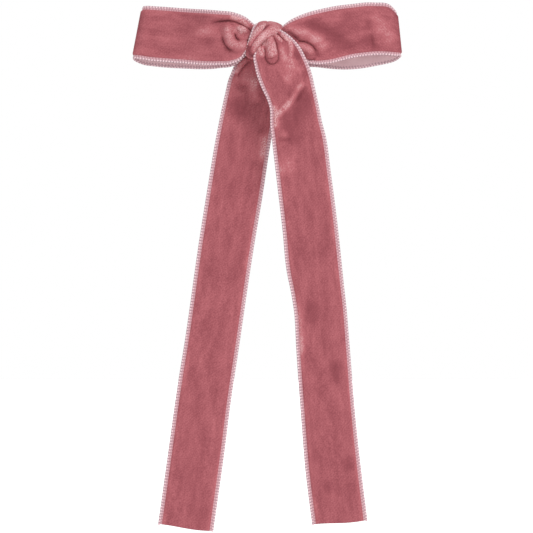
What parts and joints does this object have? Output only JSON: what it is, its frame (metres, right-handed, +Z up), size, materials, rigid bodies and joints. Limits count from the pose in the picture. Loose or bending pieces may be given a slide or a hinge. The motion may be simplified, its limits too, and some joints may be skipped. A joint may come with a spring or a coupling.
{
  "type": "bow barrette",
  "caption": "Hair barrette: a velvet ribbon tied in a flat bow with long hanging tails, sewn to a sprung steel clip with a hinged clasp arm and a squeeze catch.",
  "frame": {"origin": "middle of the clip's jaw, halfway between tension bar and clasp arm, where the hair lies", "axes": "+Z up as worn, -Y out of the bow's front, +Y towards the head, +X to the right seen from the front"},
  "size_m": [0.128, 0.0298, 0.2505],
  "materials": {
    "velvet_ribbon": "dusty rose velvet pile with a satin back and pale picot selvedges",
    "nickel_steel": "nickel-plated stamped steel",
    "spring_steel": "nickel-plated spring steel strip",
    "sewing_thread": "polyester sewing thread, matched to the ribbon"
  },
  "bodies": {
    "bow": {"base_plate": "nickel_steel", "hinge_pin": "nickel_steel", "tension_bar": "spring_steel", "bar_rivet": "nickel_steel", "catch_bracket": "spring_steel", "catch_rivet": "nickel_steel", "centre_stitches": "sewing_thread", "left_stitches": "sewing_thread", "right_stitches": "sewing_thread", "gathered_waist": "velvet_ribbon", "knot_wrap": "velvet_ribbon", "left_loop": "velvet_ribbon", "right_loop": "velvet_ribbon", "left_tail_root": "velvet_ribbon", "right_tail_root": "velvet_ribbon"},
    "clasp_arm": {"clasp_arm": "nickel_steel"},
    "upper_prong": {"upper_prong": "spring_steel"},
    "lower_prong": {"lower_prong": "spring_steel"},
    "left_tail": {"left_tail": "velvet_ribbon"},
    "right_tail": {"right_tail": "velvet_ribbon"}
  },
  "joints": [
    {"name": "arm_hinge", "type": "hinge", "parent": "bow", "child": "clasp_arm", "pos_m": [-0.035, 0.00308, 0], "axis": [0, 0, 1], "range_deg": [0, 75]},
    {"name": "upper_prong_squeeze", "type": "hinge", "parent": "bow", "child": "upper_prong", "pos_m": [0.035, -0.00092, 0.0036], "axis": [-1, 0, 0], "range_deg": [0, 8], "stiffness_Nm_per_rad": 0.02},
    {"name": "lower_prong_squeeze", "type": "hinge", "parent": "bow", "child": "lower_prong", "pos_m": [0.035, -0.00092, -0.0036], "axis": [1, 0, 0], "range_deg": [0, 8], "stiffness_Nm_per_rad": 0.02},
    {"name": "left_tail_swing", "type": "hinge", "parent": "bow", "child": "left_tail", "pos_m": [-0.0059, -0.00719, -0.014], "axis": [1, 0, 0], "range_deg": [0, 35]},
    {"name": "right_tail_swing", "type": "hinge", "parent": "bow", "child": "right_tail", "pos_m": [0.0076, -0.0202, -0.016], "axis": [-1, 0, 0], "range_deg": [0, 60]}
  ]
}
